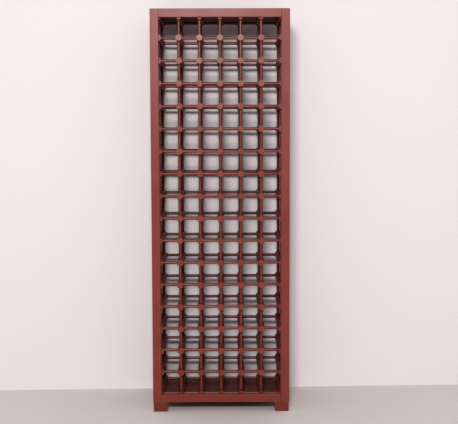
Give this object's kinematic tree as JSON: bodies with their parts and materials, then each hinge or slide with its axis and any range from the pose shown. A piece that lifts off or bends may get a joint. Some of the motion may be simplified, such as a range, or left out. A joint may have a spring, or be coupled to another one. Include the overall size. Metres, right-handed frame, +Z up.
{
  "type": "wine rack",
  "caption": "Tall free-standing wooden wine rack: a lattice of round logs and rods, open front to back, in a board carcass with a face frame and block feet.",
  "frame": {"origin": "on the floor, at the middle of the rack's width and depth", "axes": "+X to the right as seen from the front, -Y out of the front where bottles go in, +Z up"},
  "size_m": [0.688, 0.43, 2.013],
  "materials": {
    "carcass_board": "red-brown stained wood, satin varnish",
    "face_frame": "red-brown stained wood, satin varnish",
    "foot_block": "red-brown stained wood, satin varnish",
    "log": "red-brown stained turned wood, satin varnish, lighter end grain",
    "rod": "red-brown stained dowel rod, satin varnish",
    "dowel": "unfinished beech",
    "screw": "zinc plated"
  },
  "bodies": {
    "root": {"side_panel_left": "carcass_board", "side_panel_right": "carcass_board", "top_panel": "carcass_board", "bottom_panel": "carcass_board", "stile_left": "face_frame", "stile_right": "face_frame", "top_rail": "face_frame", "bottom_rail": "face_frame", "foot_front_left": "foot_block", "foot_front_right": "foot_block", "foot_back_left": "foot_block", "foot_back_right": "foot_block", "logs_column_1": "log", "logs_column_2": "log", "logs_column_3": "log", "logs_column_4": "log", "logs_column_5": "log", "logs_column_6": "log", "logs_column_7": "log", "cross_rods_row_01": "rod", "cross_rods_row_02": "rod", "cross_rods_row_03": "rod", "cross_rods_row_04": "rod", "cross_rods_row_05": "rod", "cross_rods_row_06": "rod", "cross_rods_row_07": "rod", "cross_rods_row_08": "rod", "cross_rods_row_09": "rod", "cross_rods_row_10": "rod", "cross_rods_row_11": "rod", "cross_rods_row_12": "rod", "cross_rods_row_13": "rod", "cross_rods_row_14": "rod", "cross_rods_row_15": "rod", "cross_rods_row_16": "rod", "cross_rods_row_17": "rod", "cross_rods_row_18": "rod", "front_uprights_column_1": "rod", "front_uprights_column_2": "rod", "front_uprights_column_3": "rod", "front_uprights_column_4": "rod", "front_uprights_column_5": "rod", "front_uprights_column_6": "rod", "front_uprights_column_7": "rod", "back_uprights_column_1": "rod", "back_uprights_column_2": "rod", "back_uprights_column_3": "rod", "back_uprights_column_4": "rod", "back_uprights_column_5": "rod", "back_uprights_column_6": "rod", "back_uprights_column_7": "rod", "carcass_dowels": "dowel", "frame_dowels": "dowel", "face_dowels": "dowel", "side_log_dowels": "dowel", "foot_screws": "screw"}
  },
  "joints": []
}
